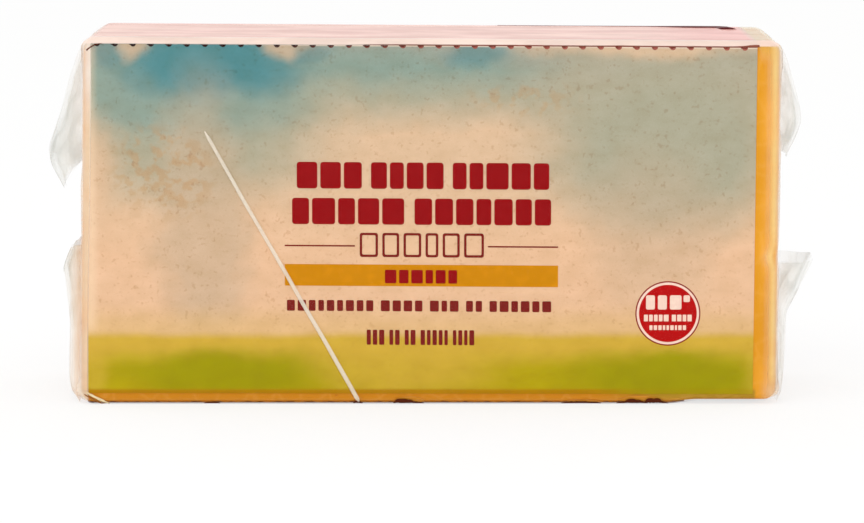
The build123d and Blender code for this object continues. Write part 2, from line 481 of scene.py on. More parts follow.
# Soft fields of the landscape, in millimetres on the label: middle across, middle up, half
# width, half height, which colour, and how strong.
SKY_FIELDS = (
    (62.0, 84.0, 44.0, 12.0, "sand", 0.55),
    (60.0, 66.0, 40.0, 27.0, "haze", 1.0),
    (58.0, 91.5, 44.0, 4.8, "peach_high", 0.8),
    (13.0, 88.5, 9.5, 4.5, "teal", 0.6),
    (-58.0, 68.0, 38.0, 20.0, "haze", 0.95),
    (-60.0, 77.0, 36.0, 13.0, "sky_green", 0.95),
    (-55.0, 85.0, 27.0, 10.0, "teal", 0.95),
    (-56.0, 89.0, 18.0, 8.0, "teal", 0.6),
    (-30.0, 88.5, 7.0, 3.0, "teal", 0.45),
    (-16.0, 86.0, 16.0, 5.0, "sky_green", 0.6),
    (-37.0, 91.0, 6.5, 4.5, "sand", 0.85),
    (-80.0, 90.0, 6.5, 4.5, "teal", 0.5),
    (-85.0, 80.0, 10.0, 6.0, "sky_green", 0.7),
    (-73.5, 91.0, 5.8, 5.0, "sand", 0.9),
    (-88.0, 62.0, 13.0, 16.0, "peach_low", 0.55),
    (-57.0, 45.0, 14.0, 42.0, "sand", 0.7),
    (56.0, 44.0, 20.0, 24.0, "sand", 0.5),
    (-66.0, 59.0, 15.0, 13.0, "rust", 0.4),
    (24.0, 77.0, 15.0, 5.0, "rust", 0.3),
)
MEADOW_FIELDS = (
    (-50.0, 7.5, 34.0, 8.0, "grass", 1.0),
    (62.0, 6.5, 36.0, 8.0, "grass", 1.0),
    (-6.0, 10.0, 30.0, 12.0, "straw", 0.75),
    (-84.0, 8.0, 6.0, 12.0, "straw", 0.5),
    (84.0, 8.0, 6.0, 12.0, "straw", 0.4),
)


def soft_fields(node, tone, fields, look, bent, spots, far, near):
    """Lays soft fields of colour over a tone: whole up to near, gone beyond far."""
    for across, up, half_width, half_height, name, strength in fields:
        inputs = {"Vector": bent, "Scale": (1 / half_width, 0, 1 / half_height)}
        inputs["Location"] = (-across / half_width, 0, -up / half_height)
        reach = node("ShaderNodeMapping", inputs=inputs)
        reach = node("ShaderNodeVectorMath", reach, operation="LENGTH", out="Value")
        share = node("smooth", reach, far, near, 0.0, strength)
        if name == "rust":
            share = node("times", share, spots)
        tone = node("mix", share, tone, getattr(look, name))
    return tone


def landscape_material(look):
    """Printed polypropylene film: flexographic ink under gloss, a sky that fades to a meadow.

    The picture is a ramp up the label, bent by noise, with soft fields of colour laid over it.
    """
    material, node, shader, place = new_material("polypropylene_film_landscape_print")
    spot = node("ShaderNodeSeparateXYZ", place).node.outputs
    across, up = spot["X"], spot["Z"]
    # The brush bends every edge by up to 5 mm, and its bristles by under 1 mm
    inputs = {"Vector": place, "Scale": 1 / 17.0, "Detail": 3.0, "Roughness": 0.6}
    brush = node("ShaderNodeTexNoise", inputs=inputs, out="Color")
    bend = node("weigh", brush, (14.0, 0.0, 9.0), (-7.0, 0.0, -4.5))
    bent = node("ShaderNodeVectorMath", place, bend, operation="ADD")
    soft = node("weigh", bend, (0.22, 0.0, 0.22), place)
    height = node("ShaderNodeSeparateXYZ", bent, out="Z")
    stops = (
        (0.00, look.peach_low),
        (1.00, look.sky_top),
        (0.25, look.peach_low),
        (0.52, look.peach_high),
        (0.68, look.peach_high),
        (0.80, look.sky_mid),
        (0.90, look.sky_green),
    )
    tone = node("ShaderNodeValToRGB", node("ShaderNodeMapRange", height, 20.0, 92.0), stops=stops)
    spots = node("smooth", noise_field(node, place, 3.0, 5.0), 0.46, 0.60)
    tone = soft_fields(node, tone, SKY_FIELDS, look, bent, spots, 1.15, 0.4)
    # The meadow, with a light band above it and straw along its top
    ground = node("ShaderNodeSeparateXYZ", soft, out="Z")
    stops = ((0.00, look.meadow), (1.00, look.straw), (0.38, look.meadow), (0.72, look.straw))
    meadow = node("ShaderNodeValToRGB", node("ShaderNodeMapRange", ground, 3.0, 18.5), stops=stops)
    meadow = soft_fields(node, meadow, MEADOW_FIELDS, look, bent, spots, 1.1, 0.3)
    hem = node("smooth", across, 56.0, 40.0, 0.25, 1.0)
    hem = node("times", node("smooth", up, 4.3, 3.4, 0.0, 0.9), hem)
    meadow = node("mix", hem, meadow, look.hem)
    tone = node("mix", node("smooth", ground, 27.0, 18.5, 0.0, 0.75), tone, look.glow)
    tone = node("mix", node("smooth", ground, 19.0, 16.2), tone, meadow)
    # Brush marks 1 to 5 mm long and a fine print grain
    strokes = noise_field(node, place, 5.5, 4.0, (1, 1, 1.6))
    marks = node("ShaderNodeMapRange", strokes, 0.25, 0.75)
    marks = node("mix", marks, linear("#f2efe8"), linear("#ffffff"))
    tone = node("tint", 1.0, tone, marks)
    grain = node("smooth", noise_field(node, place, 0.8, 3.0), 0.56, 0.72, 0.0, 0.16)
    tone = node("tint", grain, tone, linear("#c9a27c"))
    # Printed foxing: sparse rust-coloured dots under half a millimetre across
    dots = node("smooth", noise_field(node, place, 1.3, 1.0), 0.66, 0.74, 0.0, 0.22)
    dots = node("times", dots, node("smooth", up, 17.0, 22.0))
    tone = node("tint", dots, tone, look.rust)
    # The scalloped top edge shows its unprinted cut, paler towards the right
    level = node("ShaderNodeMath", across, 0.0067, up, operation="MULTIPLY_ADD")
    cut_edge = node("smooth", across, -55.0, -15.0, 0.0, 0.85)
    cut_edge = node("times", node("smooth", level, 90.0, 90.3), cut_edge)
    tone = node("mix", cut_edge, tone, linear("#f2dfc9"))
    # Painted highlight: the left edge is paler, as if the block's rounded edge caught the light
    stand_off = node("smooth", across, -82.0, -85.0, 0.0, 0.4)
    stand_off = node("times", stand_off, node("smooth", up, 17.0, 21.0))
    tone = node("mix", stand_off, tone, linear("#ffe3c0"))
    rough = node("smooth", strokes, 0.3, 0.7, 0.34, 0.42)
    relief = film_relief(node, place, 0.25, 0.3 * MM)
    finish(shader, tone, rough, relief, coat=(0.05, 0.08))
    return material


def red_film_material(look):
    """Printed polypropylene film in one dark red, glossy under the clear film.

    Under the scallops of the front label its print is darker, a painted shadow in the gap;
    round the lower front edge it is browner, and where it is torn there it is stained.
    """
    material, node, shader, place = new_material("polypropylene_film_red_print")
    cloud = noise_field(node, place, 9.0, 3.0)
    deep = tuple(part * 0.72 for part in look.red_film[:3]) + (1.0,)
    tone = node("mix", node("smooth", cloud, 0.3, 0.75, 0.0, 0.55), look.red_film, deep)
    grain = node("smooth", noise_field(node, place, 0.7, 2.0), 0.6, 0.75, 0.0, 0.2)
    tone = node("mix", grain, tone, linear("#c8433d"))
    # Painted shadow where it is lapped under the scallops, near black at the left; round the lower
    # front edge the print is browner
    spot = node("ShaderNodeSeparateXYZ", place).node.outputs
    front = node("smooth", spot["Y"], -24.5, -25.6)
    lapped = node("times", node("smooth", spot["Z"], 91.4, 91.9, 1.0, 0.0), front)
    left = node("smooth", spot["X"], -50.0, 20.0)
    lap_shadow_and_brown = node("mix", left, linear("#240803"), linear("#a3584a"))
    low = node("smooth", spot["Z"], 4.0, 3.0)
    lap_shadow_and_brown = node("mix", low, lap_shadow_and_brown, linear("#8f5416"))
    tone = node("mix", lapped, tone, lap_shadow_and_brown)
    # The torn lower end: above a ragged line it is stained by the cheese
    tear = noise_field(node, place, 2.6, 2.0, (1, 0, 0))
    line = node("ShaderNodeMath", tear, -2.4, spot["Z"], operation="MULTIPLY_ADD")
    stained = node("times", node("smooth", line, -0.75, -0.55), node("times", low, front))
    tone = node("mix", stained, tone, linear("#cf8a22"))
    rough = node("smooth", cloud, 0.3, 0.7, 0.26, 0.36)
    relief = film_relief(node, place, 0.35, 0.35 * MM)
    finish(shader, tone, rough, relief, shine=0.2, coat=(0.2, 0.09))
    return material


def ink_material(name, code, spot_size=1.3):
    """Flexographic ink: nearly even, with the faint mottle of a soft printing plate."""
    material, node, shader, place = new_material(name)
    mottle = noise_field(node, place, spot_size, 3.0)
    light = tuple(min(1.0, part * 1.2 + 0.004) for part in code[:3]) + (1.0,)
    tone = node("mix", node("smooth", mottle, 0.45, 0.75, 0.0, 0.6), code, light)
    finish(shader, tone, node("smooth", mottle, 0.3, 0.7, 0.36, 0.46), coat=(0.05, 0.1))
    return material


def cut_shadow_material():
    """Shadow in the cuts: red film under the front label, deeper where the two stand apart."""
    material, node, shader, place = new_material("cut_edge_shadow")
    along = node("smooth", node("ShaderNodeSeparateXYZ", place, out="X"), -45.0, 30.0)
    tone = node("mix", along, linear("#2a0d07"), linear("#9a5348"))
    mottle = node("smooth", noise_field(node, place, 0.6, 3.0), 0.4, 0.7)
    shade = node("mix", mottle, linear("#c9bdb8"), linear("#ffffff"))
    tone = node("tint", 1.0, tone, shade)
    finish(shader, tone, 0.5, ior=1.5)
    return material


def film_material(name, streakiness=1.0, streak=(1, 1, 0.25), size=3.2):
    """Polyamide and polyethylene barrier film, blown and shrunk: clear, milky where it folds.

    Its point fields say how milky it is ("haze") and which colour the milkiness has ("tint"):
    stressed film is white, and it picks up the colour of what lies under it. The same fields
    also paint light and shade: highlights, a reflection over the top, and shade under the lower
    front edge and in the ears' folds.
    """
    material, node, shader, place = new_material(name)
    haze = node("ShaderNodeAttribute", attribute_name="haze", out="Fac")
    tint = node("ShaderNodeAttribute", attribute_name="tint", out="Color")
    streaks = noise_field(node, place, size, 4.0, streak, 0.6)
    shade = node("smooth", streaks, 0.42, 0.68, 0.0, streakiness)
    shade = node("mix", shade, linear("#ffffff"), linear("#e9e9e6"))
    thin, thick = 1 - 0.35 * streakiness, 1 + 0.45 * streakiness
    alpha = node("times", haze, node("smooth", streaks, 0.36, 0.66, thin, thick))
    inputs = {"Strength": 0.3, "Distance": 0.2 * MM, "Height": streaks}
    relief = node("ShaderNodeBump", inputs=inputs)
    alpha = node("ShaderNodeMath", alpha, 0.97, operation="MINIMUM")
    finish(shader, node("tint", 1.0, tint, shade), 0.22, relief, 1.5, 0.2, Alpha=alpha)
    return material


# ---------------------------------------------------------------- the film's shapes


def pack_outline(sizes):
    """The film's outline on the front: its four corners, in millimetres, sides and radius."""
    gap = (CHEESE_LOW.z - FILM_LOW.z) / MM
    low_left = (CHEESE_LOW.x / MM - gap, 0.0)
    right_foot = CHEESE_HIGH.x / MM + sizes.right_lean / MM
    low_right = (right_foot + gap, sizes.base_lift / MM)
    high_right = right_foot - sizes.right_lean / MM + gap
    high_right = (high_right, float(top_height(high_right, sizes)))
    high_left = low_left[0] + sizes.left_lean / MM
    high_left = (high_left, float(top_height(high_left, sizes)))
    return low_left, low_right, high_right, high_left, sizes.corner_radius / MM + gap


# The film's top falls evenly from its left end over this length, in millimetres
TOP_LEFT, TOP_LENGTH = -86.0, 173.5


def top_height(x, sizes):
    """How high the film's top is above the table, along the block."""
    share = (np.asarray(x, float) - TOP_LEFT) / TOP_LENGTH
    return FILM_HIGH.z / MM + 0.02 - sizes.right_drop / MM * share


def label_top(x, sizes):
    """How high the front label's scalloped top edge is above the table, along the block."""
    return top_height(x, sizes) - sizes.label_drop / MM


def base_height(x, sizes):
    """How high the film's base is above the table, along the block."""
    rise = ramp_up(np.asarray(x, float), sizes.lift_foot / MM - 1.5, sizes.lift_head / MM + 1.5)
    return rise * sizes.base_lift / MM


def rounded_outline(sizes, along_steps, up_steps, arc_steps):
    """Points and outward normals round the film's front outline, from its lower left corner."""
    *corners, radius = pack_outline(sizes)
    corners = [np.array(corner) for corner in corners]
    normals = []
    for number in range(4):
        way = corners[(number + 1) % 4] - corners[number]
        way /= np.linalg.norm(way)
        if number == 0:
            way = np.array([1.0, 0.0])
        normals.append(np.array([way[1], -way[0]]))
    centres = []
    for number in range(4):
        before, after = normals[number - 1], normals[number]
        centres.append(corners[number] - radius * (before + after) / (1 + before @ after))
    points, outwards = [], []

    def half_corner(centre, first, second, begin):
        for step in range(arc_steps):
            share = begin + 0.5 * step / arc_steps
            normal = first * (1 - share) + second * share
            normal /= np.linalg.norm(normal)
            points.append(centre + radius * normal)
            outwards.append(normal)

    for number, steps in enumerate((along_steps, up_steps, along_steps, up_steps)):
        following = (number + 1) % 4
        before, here, after = normals[number - 1], normals[number], normals[following]
        run = steps - 2 * arc_steps
        half_corner(centres[number], before, here, 0.5)
        start = centres[number] + radius * here
        end = centres[following] + radius * here
        for step in range(run):
            # Finer towards the corners
            share = step / run
            share -= 0.035 * math.sin(2 * math.pi * share)
            point = start + (end - start) * share
            if number == 0:
                point[1] = float(base_height([point[0]], sizes)[0])
            points.append(point)
            outwards.append(here)
        half_corner(centres[following], here, after, 0.0)
    return np.array(points), np.array(outwards)


def coons_patch(ring, along_steps, up_steps):
    """Points of a grid inside a closed ring of points."""
    bottom = ring[: along_steps + 1]
    right = ring[along_steps : along_steps + up_steps + 1]
    top = ring[along_steps + up_steps : 2 * along_steps + up_steps + 1][::-1]
    left = np.vstack([ring[2 * along_steps + up_steps :], ring[:1]])[::-1]
    s = np.linspace(0, 1, along_steps + 1)[:, None, None]
    t = np.linspace(0, 1, up_steps + 1)[None, :, None]
    inside = (1 - t) * bottom[:, None] + t * top[:, None]
    inside = inside + (1 - s) * left[None] + s * right[None]
    corners = (1 - s) * (1 - t) * bottom[0] + s * (1 - t) * bottom[-1]
    return inside - (corners + (1 - s) * t * top[0] + s * t * top[-1])


def tight_skin(sizes):
    """The skin without any slack: points in millimetres, their outward normals, and faces."""
    along, up, arc = 150, 84, 6
    outline, outward = rounded_outline(sizes, along, up, arc)
    count = len(outline)
    half = (FILM_HIGH.y - FILM_LOW.y) / 2 / MM
    radius = sizes.edge_radius / MM + (CHEESE_LOW.z - FILM_LOW.z) / MM
    rings, turns, runs = [], 12, 44
    for step in range(turns + 1):
        angle = math.pi / 2 * step / turns
        y = -half + radius * (1 - math.cos(angle))
        rings.append((radius * (1 - math.sin(angle)), y, angle))
    for step in range(1, runs):
        rings.append((0.0, -half + radius + (2 * half - 2 * radius) * step / runs, math.pi / 2))
    for inset, y, angle in rings[turns::-1]:
        rings.append((inset, -y, angle))
    points, normals, faces = [], [], []
    for number, (inset, y, angle) in enumerate(rings):
        ring = outline - outward * inset
        points.append(np.column_stack([ring[:, 0], np.full(count, y), ring[:, 1]]))
        tilt = math.cos(angle) * (-1 if number < len(rings) / 2 else 1)
        across, up_way = (outward * math.sin(angle)).T
        normals.append(np.column_stack([across, np.full(count, tilt), up_way]))
    for j in range(len(rings) - 1):
        for i in range(count):
            k = (i + 1) % count
            a, b = j * count, (j + 1) * count
            faces.append((a + i, b + i, b + k, a + k))
    total = len(rings) * count
    for ring_number, facing in ((0, -1), (len(rings) - 1, 1)):
        ring = points[ring_number][:, [0, 2]]
        grid = coons_patch(ring, along, up)
        index = np.empty((along + 1, up + 1), int)
        base = ring_number * count
        for i in range(along + 1):
            index[i, 0] = base + i
            index[i, up] = base + 2 * along + up - i
        for j in range(up + 1):
            index[along, j] = base + along + j
            index[0, j] = base + (2 * along + 2 * up - j) % count
        inner = grid[1:-1, 1:-1].reshape(-1, 2)
        index[1:-1, 1:-1] = total + np.arange(len(inner)).reshape(along - 1, up - 1)
        total += len(inner)
        face_y = np.full(len(inner), rings[ring_number][1])
        points.append(np.column_stack([inner[:, 0], face_y, inner[:, 1]]))
        normals.append(np.tile([0.0, float(facing), 0.0], (len(inner), 1)))
        for i in range(along):
            for j in range(up):
                face = (index[i, j], index[i + 1, j], index[i + 1, j + 1], index[i, j + 1])
                faces.append(face if facing < 0 else face[::-1])
    return np.vstack(points), np.vstack(normals), faces


def film_skin(sizes, film):
    """The skin with its slack: vertices, faces, and the haze and tint of each vertex."""
    points, normals, faces = tight_skin(sizes)
    half = (FILM_HIGH.y - FILM_LOW.y) / 2 / MM
    x, y, z = points.T
    left_x, right_x = FRONT_LOW.x / MM, FRONT_HIGH.x / MM
    on_label = ramp_up(x, left_x - 0.6, left_x + 0.6)
    on_label = on_label * (1 - ramp_up(x, right_x - 0.6, right_x + 0.6))
    on_end = np.clip(np.abs(normals[:, 0]), 0, 1) ** 2
    # Slack: shallow waves over the cheese, almost none over the labels
    push = film.ripple / MM * value_noise(points * [1, 1, 0.6], 5.0, 11)
    push = push * (0.25 + 0.75 * (1 - on_label))
    # The ends are folded like a parcel: creases run from the corners to the middle seam
    across = np.abs(y) / half
    from_edge = np.minimum(z - 2, FILM_HIGH.z / MM - z)
    diagonal = np.abs(from_edge - (half - np.abs(y)) * 1.15)
    parcel = np.exp(-((diagonal / 1.1) ** 2))
    gathers = folds(points * [0.2, 1.0, 0.22], 3.2, 23, 2.6)
    push = push + on_end * film.end_fold / MM * (
        0.9 * parcel + 0.8 * gathers * (1 - across**4) + 0.35 * value_noise(points, 6.0, 5)
    )
    # Kinks where the film is drawn in on the upright edges
    kinks = ((1, 37.5, 0.35), (-1, 20.0, 0.25), (-1, 61.0, 0.2), (1, 70.0, 0.15))
    for side, kink_z, depth in kinks:
        near = np.exp(-(((z - kink_z) / 2.4) ** 2)) * (np.sign(x) == side)
        push = push - depth * near * ramp_up(np.abs(x), 84.5, 87.0)
    # Gathered film at the two lower corners of the front
    for side in (-1, 1):
        corner = np.exp(-(((z - 3.0) / 3.5) ** 2)) * ramp_up(x * side, 82.0, 87.0) * (y < 0)
        push = push + 0.5 * corner * folds(points, 2.2, 31 + side, 2.0)
    push = np.clip(push, -0.13 - 0.2 * (1 - on_label), 1.4)
    below = ramp_up(-normals[:, 2], 0.3, 0.9)
    push = push * (1 - below)
    points = points + normals * push[:, None]
    points[:, 2] = np.maximum(points[:, 2], 0.0)
    # Haze: clear over the front and back, milky on edges and ends. Some layers paint light and
    # shade: highlights on rounded edges, glare at the left margin, a reflection over the top,
    # shade under the lower front edge
    top = top_height(x, sizes)
    label_left = left_x + 1.6 * ramp_up(z, 0, 90) + 0.15
    left_margin = 1 - ramp_up(x, label_left - 0.25, label_left + 0.25)
    upper = ramp_up(z, 66, 84)
    middle = ramp_up(x, 83.6, 87.0)
    outer_right = ramp_up(x, 86.9, 88.0) ** 1.2
    # Painted highlight: a bright band down the rounded upright edge at the right end, kinked where
    # the film is drawn in
    centre = 86.5 - 0.9 * np.exp(-(((z - 37.5) / 2.2) ** 2))
    shine = np.exp(-(((x - centre) / 1.25) ** 2)) * (y < -half + 4.0) * ramp_up(z, 2, 8)
    top_right = ramp_up(z, top - 6.0, top - 2.0) * ramp_up(x, 82.2, 83.0)
    low_right = (1 - ramp_up(z, 3.0, 7.5)) * ramp_up(x, 83.0, 86.5)
    above = ramp_up(normals[:, 2], 0.45, 0.9)
    # Painted shade: brown on the film's faces turned down to the table, along the lower front edge
    underside_shade = ramp_up(-normals[:, 2], 0.86, 0.97) * (y < -half + 2.6) * (1 - ramp_up(x, 62, 68))
    # Painted highlight: a pale band along the rounded top front edge above the label; it leaves a
    # thin dark line free over its right part
    lower_edge = label_top(x, sizes) + 0.26 * ramp_up(x, -30, 0)
    band = ramp_up(z, lower_edge - 0.13, lower_edge + 0.13) * ramp_up(-y, half - 3.0, half - 2.0)
    top_folds = folds(points * [0.16, 1.4, 1], 6.0, 47, 2.4)
    # Painted reflection on the top face: rosy over the label, pale yellow over bare cheese
    over_red = ramp_up(x, left_x + 0.8, left_x + 2.6)
    over_red = over_red * (1 - ramp_up(x, right_x - 1.2, right_x - 0.2))
    rosy = ramp_up(x, 50, 78)
    pinkness = folds(points * [0.12, 0.9, 1], 5.0, 61, 1.6)
    layers = (
        # share, haze, tint
        (np.ones(len(x)), 0.002, "#fbf3ea"),
        ((1 - on_label) * (x > 0), 0.006, "#ffe9c8"),
        (middle, 0.16, "#ffc552"),
        (top_right, 0.30, "#ffe07e"),
        # milky film at the left margin, partly painted glare, whiter towards the top
        (left_margin, 0.68, "#fbe3c2"),
        (left_margin * upper, 0.76, "#fff2e4"),
        # painted highlight down the right end's rounded upright edge
        (shine * (1 - above), 0.74, "#ffdc8e"),
        (outer_right, 0.72, "#fff4e2"),
        (low_right, 0.50, "#fde4bc"),
        (on_end, 0.30 + 0.35 * parcel + 0.30 * gathers, "#f3e7d8"),
        # painted reflection over the top face
        (above * over_red, 0.86 + 0.08 * top_folds * (1 - pinkness), "#ffcbb9"),
        (above * over_red * pinkness * 0.4, 0.84, "#ffb8ae"),
        (above * over_red * rosy, 0.88, "#ffb2a6"),
        (above * (1 - over_red) * (x < 0), 0.82, "#f8d6ca"),
        (above * (1 - over_red) * (x > 0), 0.62, "#fff6d8"),
        # painted highlight along the rounded top front edge
        (band, 0.86, "#ffe6d8"),
        (below, 0.02, "#fbf3ea"),
        # painted shade under the lower front edge
        (underside_shade, 0.9, "#9a6226"),
    )
    haze = np.zeros(len(x))
    tint = np.zeros((len(x), 4))
    for share, strength, code in layers:
        share = np.clip(share, 0, 1)
        haze = haze * (1 - share) + strength * share
        tint = tint * (1 - share[:, None]) + np.array(linear(code)) * share[:, None]
    return points * MM, faces, {"haze": np.clip(haze, 0, 1), "tint": tint}


def ridge(path, widths, rises, facing, sides=10):
    """A thin closed bead along a path in millimetres: its points and faces.

    Facing is the way the bead stands up from the surface, at each point of the path.
    """
    path, facing = np.asarray(path, float), np.asarray(facing, float)
    steps = len(path)
    way = np.gradient(path, axis=0)
    way /= np.linalg.norm(way, axis=1, keepdims=True)
    over = np.cross(way, facing)
    over /= np.linalg.norm(over, axis=1, keepdims=True)
    vertices, faces = [], []
    for step in range(steps):
        for turn in range(sides):
            angle = 2 * math.pi * turn / sides
            vertices.append(
                path[step]
                + over[step] * widths[step] / 2 * math.cos(angle)
                + facing[step] * rises[step] * math.sin(angle)
            )
    for step in range(steps - 1):
        a, b = step * sides, (step + 1) * sides
        for turn in range(sides):
            following = (turn + 1) % sides
            faces.append((a + turn, a + following, b + following, b + turn))
    faces.append(tuple(range(sides)))
    faces.append(tuple((steps - 1) * sides + turn for turn in reversed(range(sides))))
    return np.array(vertices), faces


# Ears of the film: side and way (1 is up from the table, -1 down from the top), then levels from
# root to free edge. A level is the distance from the block's top or from the table, the stand-off
# from the end, and the inset from the front and back, in millimetres. The last values are the
# fall of the free edge's ridge below its sides, and a seed.
EARS = {
    "upper_left": (
        -1,
        -1,
        (
            (0.9, -0.6, 3.0), (1.8, 1.0, 2.6), (5.2, 2.9, 3.8), (12.0, 5.3, 7.1),
            (19.7, 7.2, 10.6), (25.4, 9.0, 13.1), (29.5, 10.4, 15.1), (34.0, 9.8, 17.1),
            (40.1, 6.2, 20.2),
        ),
        8.5,
        3,
    ),
    "lower_left": (
        -1,
        1,
        (
            (0.0, -0.4, 2.6), (1.2, 3.4, 2.6), (4.6, 4.3, 3.8), (10.7, 4.3, 6.1),
            (17.8, 4.2, 8.6), (25.1, 5.3, 11.1), (32.4, 6.3, 14.1), (37.4, 4.3, 17.1),
        ),
        -2.5,
        7,
    ),
    "upper_right": (
        1,
        -1,
        (
            (0.9, -0.6, 3.0), (2.2, 1.4, 2.6), (6.4, 3.2, 4.1), (11.8, 5.1, 6.6),
            (18.2, 6.8, 10.1), (21.6, 7.1, 12.1), (25.2, 5.8, 14.1), (30.4, 3.2, 17.1),
        ),
        3.0,
        12,
    ),
    "lower_right": (
        1,
        1,
        (
            (0.0, -0.4, 2.6), (1.2, 2.0, 2.6), (5.6, 2.8, 3.8), (12.1, 3.4, 6.1),
            (21.5, 3.8, 10.1), (23.9, 5.3, 11.6), (29.1, 8.5, 14.1), (34.1, 10.8, 15.6),
        ),
        0.0,
        17,
    ),
}


def end_face_x(side, height, sizes):
    """The film's face at one end (side -1 is the left end) at heights in millimetres."""
    low_left, low_right, high_right, high_left, _ = pack_outline(sizes)
    foot, head = (low_left, high_left) if side < 0 else (low_right, high_right)
    share = (height - foot[1]) / (head[1] - foot[1])
    return foot[0] + share * (head[0] - foot[0])


def ear_sheet(sizes, ear, layer):
    """One layer of an ear: a grid of points in millimetres, with haze and tint."""
    side, way, levels, fall, seed = EARS[ear]
    table = np.array(levels)
    top = float(top_height(87.0 * side, sizes)) - 0.4
    start = top if way < 0 else 0.0
    u, v = even_grid(66, 72)
    shrink = 1.0 - 0.16 * layer
    profile = np.cos(u * math.pi / 2) ** 0.85
    flat = np.stack([u * 9 + 40 * layer, v * 14, u * 0 + seed * 3.7], axis=-1)
    wobble = value_noise(flat * [1, 0.0, 1], 2.6, seed + layer)
    first, last = table[0, 0], table[-1, 0]
    end = last - fall * (1 - profile) + 0.8 * wobble - 2.2 * layer
    distance = first + v * (end - first)
    fine = np.linspace(first, last + 3, 400)
    blur = 12
    smooth = np.ones(2 * blur + 1) / (2 * blur + 1)

    def level(column):
        values = np.interp(fine, table[:, 0], table[:, column])
        slope = (table[-1, column] - table[-2, column]) / (last - table[-2, 0])
        values = values + np.clip(fine - last, 0, None) * slope
        padded = np.pad(values, blur, mode="edge")
        values = np.convolve(padded, smooth, mode="valid")
        return np.interp(distance, fine, values)

    stand_off, inset = level(1), level(2)
    half = (CHEESE_HIGH.y - CHEESE_LOW.y) / 2 / MM - inset
    reach = np.clip((distance - first) / (last - first), 0, 1)
    # Pleats fan out from the root, and short crumples cross them near the free edge
    fan = u * (3.1 + 0.7 * layer) + 0.35 * value_noise(flat, 4.0, seed + 5)
    pleats = np.abs(((fan + 0.5 * layer) % 1.0) - 0.5) * 4 - 1
    crumple = folds(flat * [1.0, 0.9, 1], 2.3, seed + 9 + layer, 2.2)
    crease = folds((flat + [0, 0, 5]) * [0.8, 0.35, 1], 1.7, seed + 21 + layer, 2.4)
    slack = np.minimum(stand_off, 4.0) / 4.0
    lift = (0.20 * pleats * reach + 0.40 * crumple * reach**1.5 + 0.18 * crease) * slack
    lift = lift * (1 - 0.75 * (profile > 0.93))
    x_out = np.maximum(stand_off * shrink * profile + lift * 0.9 - 0.25 * layer, -1.2)
    x_out = np.minimum(x_out, stand_off + 0.3)
    sway = 0.5 * value_noise(flat, 3.0, seed + 31) * slack
    y = half * shrink * np.sin(u * math.pi / 2) - 1.5 * reach * profile + sway
    z = np.maximum(start + way * distance, 0.12 + 0.1 * layer)
    x = end_face_x(side, z, sizes) + side * x_out
    rim = np.clip((v - 0.955) / 0.045, 0, 1)
    side_rim = ramp_up(np.abs(u), 0.86, 1.0)
    # Two walls of film, each with two faces, lie behind each other, so each is only faintly milky
    haze = 0.072 + 0.06 * crease + 0.10 * crumple * reach + 0.02 * np.clip(pleats, 0, 1)
    haze = haze - 0.03 * rim
    warmth = np.clip(1.0 - x_out / 6.5, 0, 1) * (1.0 if side < 0 < way else 0.35)
    haze = haze + 0.22 * warmth * (side < 0 < way)
    # The outline is a soft turn of clear film
    haze = haze * (1 - 0.55 * ramp_up(profile, 0.86, 1.0))
    haze = np.where(v < 0.04, haze * 0.6, haze) * (1 - 0.6 * side_rim) * (0.3 if layer else 1.0)
    warmth = warmth[:, :, None]
    tint = np.array(linear("#eeefe2")) * (1 - warmth) + np.array(linear("#ffcf96")) * warmth
    # Painted shade: the tint darkens along creases and crumples, less where the film is warm
    dark = np.clip(0.35 * crease + 0.35 * crumple * reach, 0, 0.5)[:, :, None]
    tint = tint * (1 - dark * (1 - warmth) * [1, 0.96, 1, 0])
    return np.stack([x, y, z], axis=-1), haze.ravel(), tint.reshape(-1, 4)


def thick_sheet(grid, gauge):
    """A grid of points given two faces and a closed rim: vertices in metres, and faces."""
    rows, columns = grid.shape[0] - 1, grid.shape[1] - 1
    across = np.gradient(grid, axis=1)
    down = np.gradient(grid, axis=0)
    normal = np.cross(across, down)
    normal /= np.maximum(np.linalg.norm(normal, axis=2, keepdims=True), 1e-9)
    first = (grid + normal * gauge / 2).reshape(-1, 3)
    second = (grid - normal * gauge / 2).reshape(-1, 3)
    total = len(first)
    width = columns + 1
    corners = [i * width + j for i in range(rows) for j in range(columns)]
    faces = [(corner, corner + 1, corner + width + 1, corner + width) for corner in corners]
    faces += [tuple(total + i for i in reversed(face)) for face in faces]
    border = list(range(width))
    border += [i * width + columns for i in range(1, rows + 1)]
    border += [rows * width + j for j in range(columns - 1, -1, -1)]
    border += [i * width for i in range(rows - 1, 0, -1)]
    for number, here in enumerate(border):
        there = border[(number + 1) % len(border)]
        faces.append((there, here, total + here, total + there))
    return np.vstack([first, second]) * MM, faces


# ---------------------------------------------------------------- operators


def dress(name, material):
    """Gives a CAD piece its finish."""
    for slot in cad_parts[name].material_slots:
        slot.material = material
    return {"FINISHED"}


def lay_prints(prints, face_y, slot, **more):
    """Lays layers of ink on one face. Each has a name, outlines, a rise, a finish and holes."""
    for name, outlines, rise, material, *holes in prints:
        ride(ink(name, outlines, face_y, rise, material, *holes, **more))
    return {"FINISHED"}


class CHEDDAR_OT_cheese(bpy.types.Operator):
    """Gives the cheese block its cut cheddar"""

    bl_idname = "cheddar.cheese"
    bl_label = "Cheese"

    def execute(self, context):
        return dress("cheese", cheddar_material(context.scene.cheese_look))


class CHEDDAR_OT_landscape(bpy.types.Operator):
    """Prints the landscape on the front label"""

    bl_idname = "cheddar.landscape"
    bl_label = "Front label"

    def execute(self, context):
        return dress("front_label", landscape_material(context.scene.landscape_look))


class CHEDDAR_OT_red_label(bpy.types.Operator):
    """Prints the wrapped label dark red"""

    bl_idname = "cheddar.red_label"
    bl_label = "Wrapped label"

    def execute(self, context):
        return dress("wrap_label", red_film_material(context.scene.ink_colours))


